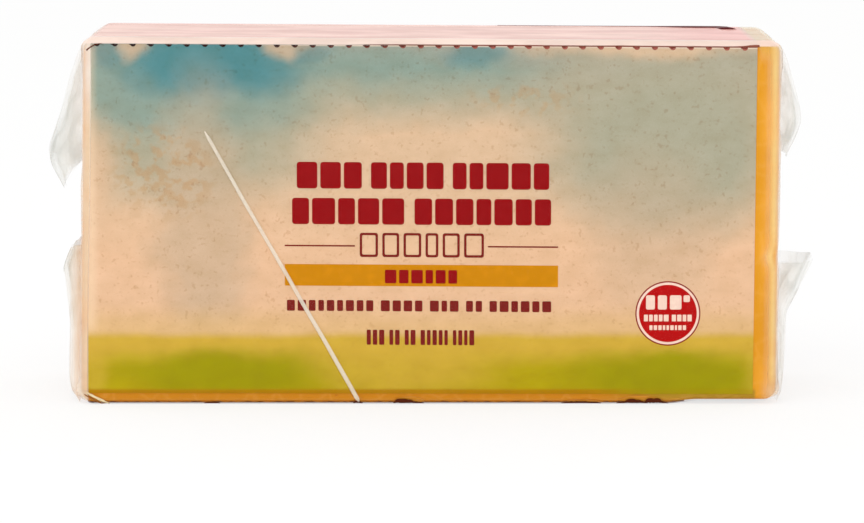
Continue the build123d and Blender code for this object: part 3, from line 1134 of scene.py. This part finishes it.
class CHEDDAR_OT_title(bpy.types.Operator):
    """Lays plain tiles, rules and the ochre bar where the pack has its words"""

    bl_idname = "cheddar.title"
    bl_label = "Title tiles"

    def execute(self, context):
        inks = context.scene.ink_colours
        sizes = context.scene.block_sizes
        red = ink_material("flexo_ink_deep_red", inks.title)
        brown = ink_material("flexo_ink_brown_red", inks.small)
        ochre = ink_material("flexo_ink_ochre", inks.band, 2.2)
        tiles = word_tiles(-32.9, 30.2, 54.5, 61.15, (3, 4, 5), 0.75, 2.3, 5, 0.7)
        tiles += word_tiles(-34.1, 30.7, 45.5, 52.1, (5, 7), 0.75, 2.6, 8, 0.7)
        # A row of thin frames, in the place of a word in thin capitals
        outer = word_tiles(-17.2, 13.9, 37.3, 43.4, (6,), 1.1, 0.0, 21, 0.6)
        inner, wall = [], 0.6
        for tile in outer:
            xs, zs = [x for x, z in tile], [z for x, z in tile]
            low, high = (min(xs) + wall, min(zs) + wall), (max(xs) - wall, max(zs) - wall)
            inner.append(rounded_tile(*low, *high, 0.3))
        rules = [
            rounded_tile(-36.0, 39.9, -18.4, 40.25, 0.1),
            rounded_tile(14.9, 39.9, 32.5, 40.25, 0.1),
        ]
        bar = [rounded_tile(-36.0, 29.95, 32.5, 35.4, 0.15)]
        marks = word_tiles(-10.9, 7.2, 30.7, 34.1, (6,), 0.7, 0.0, 4, 0.3)
        small = word_tiles(-35.5, 30.8, 23.6, 26.35, (9, 4, 3, 2, 6), 0.72, 1.9, 15, 0.3)
        small += word_tiles(-15.5, 11.5, 15.1, 18.9, (3, 2, 2, 5, 4), 0.5, 1.3, 33, 0.25)
        prints = (
            ("title_tiles", tiles, 0.055, red),
            ("thin_frames", outer, 0.05, brown, inner),
            ("thin_rules", rules, 0.05, brown),
            ("ochre_bar", bar, 0.03, ochre),
            ("bar_tiles", marks, 0.07, red),
            ("small_tiles", small, 0.05, brown),
        )
        slope = float(label_top(0.0, sizes) - label_top(1.0, sizes))
        return lay_prints(prints, FRONT_LOW.y, "printed_film_landscape", slope=slope)


class CHEDDAR_OT_badge(bpy.types.Operator):
    """Prints the round badge, with plain marks on its disc"""

    bl_idname = "cheddar.badge"
    bl_label = "Round badge"

    def execute(self, context):
        inks = context.scene.ink_colours
        x, z = centre = (60.1, 23.1)
        dark = ink_material("flexo_ink_badge_outline", linear("#8a1512"))
        pale = ink_material("flexo_ink_pale_ring", inks.ring)
        disc = ink_material("flexo_ink_badge_red", inks.badge)
        marks = word_tiles(x - 5.5, x + 3.4, z + 1.0, z + 4.6, (3,), 0.75, 0.0, 2, 0.4)
        marks.append(rounded_tile(x + 3.9, z + 2.9, x + 5.5, z + 4.6, 0.3))
        marks += word_tiles(x - 6.0, x + 6.0, z - 2.0, z - 0.3, (5, 4), 0.3, 0.8, 6, 0.15)
        marks += word_tiles(x - 4.6, x + 4.6, z - 4.2, z - 3.0, (9,), 0.3, 0.0, 7, 0.12)
        prints = (
            ("badge_outline", [disc_outline(centre, 8.17)], 0.02, dark),
            ("badge_ring", [disc_outline(centre, 7.85)], 0.035, pale),
            ("badge_disc", [disc_outline(centre, 7.25)], 0.05, disc),
            ("badge_marks", marks, 0.07, pale),
        )
        return lay_prints(prints, FRONT_LOW.y, "printed_film_landscape")


class CHEDDAR_OT_back_panel(bpy.types.Operator):
    """Prints plain pale panels on the back, with rows of plain tiles and two ochre bars"""

    bl_idname = "cheddar.back_panel"
    bl_label = "Back panel"

    def execute(self, context):
        inks = context.scene.ink_colours
        pale = ink_material("flexo_ink_pale_panel", inks.panel, 3.0)
        brown = ink_material("flexo_ink_panel_brown", inks.small)
        ochre = ink_material("flexo_ink_panel_ochre", inks.band)
        panels = [
            rounded_tile(-70.0, 14.0, -8.0, 78.0, 2.5),
            rounded_tile(2.0, 14.0, 68.0, 46.0, 2.5),
        ]
        blocks = (
            # lines, top, pitch, left, right, how ragged, height, words, first seed
            (12, 71.0, 4.6, -65.0, -13.0, 12, 1.7, (6, 4, 7), 50),
            (6, 39.0, 4.4, 7.0, 63.0, 20, 1.5, (5, 7, 6), 70),
        )
        rows = []
        rng = np.random.default_rng(40)
        for lines, top, pitch, left, right, ragged, tall, words, seed in blocks:
            for number in range(lines):
                z, end = top - number * pitch, right - rng.uniform(0, ragged)
                rows += word_tiles(left, end, z, z + tall, words, 0.5, 1.5, seed + number, 0.2)
        bars = [rounded_tile(2.0, 52.0, 68.0, 60.0, 1.0), rounded_tile(2.0, 64.0, 48.0, 68.0, 1.0)]
        prints = (
            ("back_panels", panels, 0.03, pale),
            ("back_tiles", rows, 0.05, brown),
            ("back_bars", bars, 0.03, ochre),
        )
        return lay_prints(prints, WRAP_HIGH.y, "printed_film_red", facing=1)


class CHEDDAR_OT_perforations(bpy.types.Operator):
    """Adds the row of short cuts along the scalloped top edge of the front label, dark with
    painted shadow
    """

    bl_idname = "cheddar.perforations"
    bl_label = "Perforations"

    def execute(self, context):
        def build(node, source):
            inputs = {"Segments": 12, "Rings": 6, "Radius": 1.0}
            cut = node("GeometryNodeMeshUVSphere", inputs=inputs)
            low, high = (0.8, 1.0, 0.75), (1.15, 1.0, 1.2)
            settings = {"inputs": {"Seed": 6}, "data_type": "FLOAT_VECTOR"}
            size = node("FunctionNodeRandomValue", low, high, **settings)
            size = node("ShaderNodeVectorMath", size, source["Size"], operation="MULTIPLY")
            return {"Instance": cut, "Scale": size}

        sizes = context.scene.block_sizes
        from_end, pitch = 0.2 + 3.1, 4.48
        right = FRONT_HIGH.x / MM - from_end
        right_z = float(label_top(right, sizes))
        drop = float(label_top(right - 1.0, sizes)) - right_z
        values = {
            "Count": 36,
            "Start": (right * MM, FRONT_LOW.y + 0.06 * MM, (right_z - 0.12) * MM),
            "Pitch": (-pitch * MM, 0.0, drop * pitch * MM),
            "Size": (0.85 * MM, 0.16 * MM, 0.32 * MM),
            "Material": cut_shadow_material(),
        }
        tree = repeat_tree("perforation_row", {"Size": "Vector"}, build)
        ride(grown_mesh("perforation_cuts", tree, values))
        return {"FINISHED"}


class CHEDDAR_OT_film(bpy.types.Operator):
    """Shrinks the clear film over the block, with its folded ends"""

    bl_idname = "cheddar.film"
    bl_label = "Film skin"

    def execute(self, context):
        vertices, faces, fields = film_skin(context.scene.block_sizes, context.scene.film_sizes)
        material = film_material("polyamide_film_shrunk", 0.25, (0.4, 1, 1), 9.0)
        skin = lay_mesh("film_wrap", vertices, faces, material, fields=fields)
        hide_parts("film")
        ride(skin)
        return {"FINISHED"}


# Radius of the block's long front edges under the film, in millimetres
EDGE = 2.0


def round_edge(low, way):
    """The film's face at a depth into a rounded front edge: its Y and the way it faces.

    The way is 1 for the upper edge and -1 for the lower one.
    """
    low = np.clip(low, 0, EDGE)
    rest = np.sqrt(EDGE**2 - low * low)
    facing = np.column_stack([low * 0, -rest / EDGE, way * low / EDGE])
    return FILM_LOW.y / MM + EDGE - rest, facing


def lay_bead(name, path, widths, rise, facing, material, sides=10, milky=None):
    """A bead along a path in millimetres. One of film has a haze and a tint."""
    rises = path[0] * 0 + rise
    vertices, faces = ridge(np.column_stack(path), widths, rises, facing, sides)
    fields = even_fields(len(vertices), *milky) if milky else None
    ride(lay_mesh(name, vertices * MM, faces, material, outwards=True, fields=fields))


def noise_along(values, size, seed, row=0.0):
    """Smooth noise along one line, from -1 to 1."""
    return value_noise(np.column_stack([values, values * 0 + row, values * 0]), size, seed)


class CHEDDAR_OT_crease(bpy.types.Operator):
    """Raises the long thin crease that crosses the front at a slant"""

    bl_idname = "cheddar.crease"
    bl_label = "Front crease"

    def execute(self, context):
        film = context.scene.film_sizes
        start, end = np.array([-55.9, 69.0]), np.array([-17.2, 0.3])
        share = np.linspace(0, 1, 121)
        way = (end - start) / np.linalg.norm(end - start)
        over = np.array([way[1], -way[0]])
        wander = 0.10 * noise_along(share * 70, 9.0, 3)
        x, z = (start + (end - start) * share[:, None] + over * wander[:, None]).T
        # Below the label the crease follows the rounded lower edge
        y, facing = round_edge(EDGE - z, -1)
        taper = np.minimum(1.0, np.minimum(share / 0.03 + 0.25, (1 - share) / 0.02 + 0.12))
        width = film.crease_width / MM * taper * (0.85 + 0.25 * share)
        rise = film.crease_height / MM * taper
        material = film_material("polyamide_film_crease", 0.3)
        path, milky = (x, y, np.maximum(z, 0.05)), (0.66, "#fff4e2")
        lay_bead("film_crease", path, width, rise, facing, material, milky=milky)
        return {"FINISHED"}


# Torn bits of the red label's end on the lower front edge: first X, last X, height and lean, in mm
TORN_BITS = (
    (-56.5, -52.5, 0.45, 1.0),
    (-18.9, -16.6, 1.35, 0.8),
    (-8.8, -1.2, 1.45, 0.55),
    (33.5, 43.5, 0.65, 1.1),
    (47.4, 55.2, 1.45, 1.2),
    (54.4, 60.4, 1.6, 0.7),
)


class CHEDDAR_OT_folds(bpy.types.Operator):
    """Draws the small folds: painted shadows at the laps, torn bits of the red label, the corner's
    fold
    """

    bl_idname = "cheddar.folds"
    bl_label = "Small folds"

    def execute(self, context):
        dark = ink_material("polypropylene_film_lap_shadow", linear("#8c5040"), 2.0)
        lifted_lap_shade = ink_material("polypropylene_film_lifted_lap", linear("#5c1a1c"), 2.0)
        torn = ink_material("polypropylene_film_torn_end", linear("#5c2408"), 0.9)
        gold = film_material("polyamide_film_corner_fold", 0.4, (1, 1, 1), 1.2)
        brown = ink_material("film_fold_shadow_brown", linear("#9a6230"), 1.2)
        sizes = context.scene.block_sizes

        # The red label laps over the front edge: a thin dark bead along its end is painted shadow
        # in the gap under the lap
        x = np.linspace(-16.0, 82.4, 90)
        share = (x - x[0]) / (x[-1] - x[0])
        z = label_top(x, sizes) + 0.16 + 0.22 * ramp_up(share, 0.93, 0.99)
        z = z + 0.07 * noise_along(x, 8.0, 4)
        y, facing = round_edge(z - top_height(x, sizes) + EDGE, 1)
        width = 0.08 + 0.12 * ramp_up(share, 0.0, 0.15) + 0.42 * ramp_up(share, 0.955, 0.99)
        lay_bead("lap_line_front", (x, y, z), width, 0.07, facing, dark, 8)

        # Its other end stands up a little along the back edge of the top, near the right end: a
        # flat dark bead there is painted shadow under the lifted end
        x = np.linspace(18.0, 77.8, 90)
        share = (x - x[0]) / (x[-1] - x[0])
        z = top_height(x, sizes) - 0.02
        thick = 0.06 + 0.16 * ramp_up(share, 0.3, 0.6) + 0.78 * ramp_up(share, 0.66, 0.86)
        y = FILM_HIGH.y / MM - EDGE - 2.2 * thick - 7.0 * ramp_up(share, 0.968, 1.0) ** 2
        facing = np.tile([0.0, 0.0, 1.0], (len(x), 1))
        width, rise = 4.4 * thick, 0.08 + 0.28 * thick
        lay_bead("lap_line_back", (x, y, z), width, rise, facing, lifted_lap_shade, 8)

        # The label's own upper left corner curls: a short dark bead in the torn end's ink is its
        # painted shadow
        share = np.linspace(0, 1, 16)
        x = -85.1 + 3.9 * share
        z = label_top(x, sizes) - 1.7 * (1 - share) ** 2.2 - 0.02
        y, facing = round_edge(z - top_height(x, sizes) + EDGE, 1)
        width = 0.30 * (1 - share) ** 0.6 + 0.06
        lay_bead("corner_curl", (x, y, z), width, 0.08, facing, torn, 8)

        # Torn bits of the red label's end show along the lower front edge
        thinnest = 0.12
        for number, (start, end, tall, lean) in enumerate(TORN_BITS):
            x, share = np.linspace(start, end, 40), np.linspace(0, 1, 40)
            hump = np.sin(math.pi * share**lean) ** 1.3
            ragged = noise_along(x, 0.9, 14, number)
            rough = np.clip(hump * (1 + 0.6 * ragged), 0, 1)
            rough = thinnest + (tall - thinnest) * rough
            z = thinnest + rough / 2
            y, facing = round_edge(EDGE - z, -1)
            path = (x, y + 0.02, z)
            lay_bead(f"torn_bit_{number + 1}", path, rough, 0.10, facing, torn)

        # Lower left corner: the film is folded over the corner and catches the light
        share = np.linspace(0, 1, 24)
        x, z = -86.0 + 5.6 * share, 3.1 - 3.0 * share**0.9
        y, facing = round_edge(EDGE - z, -1)
        ragged = noise_along(share * 9, 1.0, 8)
        width = 0.30 + 0.40 * np.sin(math.pi * share) ** 0.7 + 0.16 * ragged
        milky = (0.85, "#fff0c4")
        lay_bead("corner_fold", (x, y, z), width, 0.16, facing, gold, milky=milky)
        path, width = (x - 0.55, y + 0.05, np.maximum(z - 0.55, 0.25)), x * 0 + 0.30
        lay_bead("corner_fold_shadow", path, width, 0.12, facing, brown, 8)
        return {"FINISHED"}


class CHEDDAR_OT_ears(bpy.types.Operator):
    """Gathers the four ears of film, each an outer hood with a second layer tucked inside"""

    bl_idname = "cheddar.ears"
    bl_label = "Film ears"

    def execute(self, context):
        sizes, film = context.scene.block_sizes, context.scene.film_sizes
        material = film_material("polyamide_film_gathered", 0.45, (1, 0.8, 0.22), 2.6)
        for name in EARS:
            for layer, layer_name in enumerate(("outer", "inner")):
                points, haze, tint = ear_sheet(sizes, name, layer)
                sheet = thick_sheet(points, film.gauge / MM)
                fields = {"haze": np.tile(haze, 2), "tint": np.tile(tint, (2, 1))}
                ear = f"film_ear_{name}_{layer_name}"
                ear = lay_mesh(ear, *sheet, material, outwards=True, fields=fields)
                ride(ear)
        return {"FINISHED"}


class CHEDDAR_OT_seams(bpy.types.Operator):
    """Folds the crimped end seams flat between the ears"""

    bl_idname = "cheddar.seams"
    bl_label = "End seams"

    def execute(self, context):
        sizes, film = context.scene.block_sizes, context.scene.film_sizes
        material = film_material("polyamide_film_crimped", 0.8, (1, 1, 0.8))

        def build(node, source):
            inputs = {"Vertices": 10, "Radius": source["Radius"], "Depth": source["Length"]}
            rib = node("GeometryNodeMeshCylinder", inputs=inputs)
            return {"Instance": rib, "Rotation": (math.pi / 2, 0.0, 0.0)}

        tree = repeat_tree("crimp_ribs", {"Radius": "Float", "Length": "Float"}, build)
        ribs_material = film_material("polyamide_film_rib", 0.5, (1, 1, 1))
        low, high = 13.0, FILM_HIGH.z / MM - 13.5
        u, v = even_grid(90, 12)
        z = low + (high - low) * v
        flat = np.stack([u * 4, u * 0, z], axis=-1)
        sway = value_noise(flat * [0, 0, 1], 14.0, 5)
        # The ribs end 2 mm short of the seam, and lie on it
        clear_end, rib_rise, pitch = 2.0, 0.88, film.rib_pitch / MM
        foot = low + clear_end
        for side, name in ((-1, "left"), (1, "right")):
            wave = value_noise(flat, 5.0, 61 + side)
            edge = value_noise(flat * [0, 0, 1], 6.0, 71 + side)
            y = u * (4.5 + 0.35 * edge) + 0.4 * sway
            x = end_face_x(side, z, sizes) + side * (0.75 + 0.22 * wave + 0.12 * u)
            sheet = thick_sheet(np.stack([x, y, z], axis=-1), 0.3)
            fields = even_fields(len(sheet[0]), 0.55, "#fbeed8")
            strip = f"film_seam_{name}"
            ride(lay_mesh(strip, *sheet, material, outwards=True, fields=fields))
            foot_x = end_face_x(side, foot, sizes)
            next_x = end_face_x(side, foot + pitch, sizes)
            values = {
                "Count": int((high - clear_end - foot) / pitch),
                "Start": ((foot_x + side * rib_rise) * MM, 0.0, foot * MM),
                "Pitch": ((next_x - foot_x) * MM, 0.0, pitch * MM),
                "Radius": film.rib_width / 2,
                "Length": 7.4 * MM,
                "Material": ribs_material,
            }
            ribs = grown_mesh(f"film_ribs_{name}", tree, values)
            lay_fields(ribs.data, even_fields(len(ribs.data.vertices), 0.5, "#fdf2de"))
            ride(ribs)
        return {"FINISHED"}


def direct_view(node):
    """1 for a ray straight from the eye or on through the film, and 0 for any other."""
    path = node("ShaderNodeLightPath").node.outputs
    eye, through = path["Is Camera Ray"], path["Is Transmission Ray"]
    return node("ShaderNodeMath", eye, through, operation="MAXIMUM")


# The most walls of film that one ray of light may cross
FILM_WALLS = 48


class CHEDDAR_OT_stage(bpy.types.Operator):
    """Sets up the pale floor, the soft light and the camera"""

    bl_idname = "cheddar.stage"
    bl_label = "Stage"

    def execute(self, context):
        stage = context.scene.stage_look
        material, node, shader, place = new_material("studio_paper_matt")
        grain = noise_field(node, place, 60.0, 2.0)
        dim = tuple(part * 0.985 for part in stage.floor[:3]) + (1.0,)
        tone = node("mix", grain, stage.floor, dim)
        finish(shader, tone, 0.9, ior=1.5, shine=0.0)
        # To the eye and through film the paper is nearer to white
        share = node("times", direct_view(node), 0.72)
        white = node("ShaderNodeEmission", inputs={"Color": (1, 1, 1, 1)})
        mixed = node("ShaderNodeMixShader", share, shader.outputs[0], white)
        nodes = material.node_tree.nodes
        feed(next(item for item in nodes if item.type == "OUTPUT_MATERIAL"), {"Surface": mixed})
        reach, steps = 6.0, 48
        ring = [(x, y, 0.0) for x, y in disc_outline((0.0, 0.0), reach, steps)]
        vertices = ring + [(x * 1.001, y * 1.001, -0.01) for x, y, _ in ring]
        faces = [tuple(range(steps)), tuple(reversed(range(steps, 2 * steps)))]
        for here in range(steps):
            there = (here + 1) % steps
            faces.append((here, steps + here, steps + there, there))
        lay_mesh("studio_floor", vertices, faces, material, False, True)

        world = bpy.data.worlds.new("studio_world")
        context.scene.world = world
        world.use_nodes = True
        node = partial(add_node, world.node_tree)
        # White to the eye and through the film, and a level light on the object
        strength = {0: direct_view(node), 2: stage.sky_strength, 3: 1.0}
        strength = node("ShaderNodeMix", inputs=strength, data_type="FLOAT")
        nodes = world.node_tree.nodes
        background = next(item for item in nodes if item.type == "BACKGROUND")
        feed(background, {"Strength": strength, "Color": (1, 1, 1, 1)})

        lamp = bpy.data.lights.new("soft_key", "AREA")
        lamp.shape, lamp.size, lamp.size_y = "RECTANGLE", 1.4, 0.9
        lamp.energy = stage.key_power
        lamp.color = (1, 1, 1)
        key = bpy.data.objects.new("soft_key", lamp)
        key.location = (-0.35, -1.0, 1.35)
        aim = Vector((0.0, 0.0, 0.05)) - key.location
        key.rotation_euler = aim.to_track_quat("-Z", "Y").to_euler()
        context.scene.collection.objects.link(key)

        lens = bpy.data.cameras.new("shop_camera")
        lens.lens, lens.sensor_width = stage.camera_lens, 36.0
        lens.clip_start, lens.clip_end = 0.05, 30.0
        camera = bpy.data.objects.new("shop_camera", lens)
        camera.location = (stage.camera_side, -stage.camera_distance, stage.camera_height)
        camera.rotation_euler = (math.pi / 2 - stage.camera_pitch, 0.0, 0.0)
        context.scene.collection.objects.link(camera)
        context.scene.camera = camera
        context.scene.view_settings.view_transform = "Standard"
        # Light crosses every wall of film on its way in and out; a low limit turns the ends grey
        context.scene.cycles.transparent_max_bounces = FILM_WALLS
        return {"FINISHED"}


class CHEDDAR_PT_pack(bpy.types.Panel):
    """Lists the pack's pieces and their sizes and colours"""

    bl_idname = "CHEDDAR_PT_pack"
    bl_label = "Cheddar block pack"
    bl_space_type = "VIEW_3D"
    bl_region_type = "UI"
    bl_category = "Cheddar"

    def draw(self, context):
        for piece in PIECES:
            self.layout.operator(piece.bl_idname)
        for name, group in GROUPS.items():
            box = self.layout.box()
            box.label(text=group.__doc__)
            for prop in group.__annotations__:
                box.prop(getattr(context.scene, name), prop)


GROUPS = {
    "block_sizes": BlockSizes,
    "film_sizes": FilmSizes,
    "cheese_look": CheeseLook,
    "landscape_look": LandscapeLook,
    "ink_colours": InkColours,
    "stage_look": StageLook,
}
PIECES = (
    CHEDDAR_OT_cheese,
    CHEDDAR_OT_landscape,
    CHEDDAR_OT_red_label,
    CHEDDAR_OT_title,
    CHEDDAR_OT_badge,
    CHEDDAR_OT_perforations,
    CHEDDAR_OT_back_panel,
    CHEDDAR_OT_film,
    CHEDDAR_OT_crease,
    CHEDDAR_OT_folds,
    CHEDDAR_OT_ears,
    CHEDDAR_OT_seams,
    CHEDDAR_OT_stage,
)


def register():
    for item in (*GROUPS.values(), *PIECES, CHEDDAR_PT_pack):
        bpy.utils.register_class(item)
    for name, group in GROUPS.items():
        setattr(bpy.types.Scene, name, PointerProperty(type=group))


def unregister():
    for name in GROUPS:
        delattr(bpy.types.Scene, name)
    for item in reversed((*GROUPS.values(), *PIECES, CHEDDAR_PT_pack)):
        bpy.utils.unregister_class(item)


def main():
    register()
    for piece in PIECES:
        getattr(bpy.ops.cheddar, piece.bl_idname.split(".")[1])()


if __name__ == "__main__":
    main()
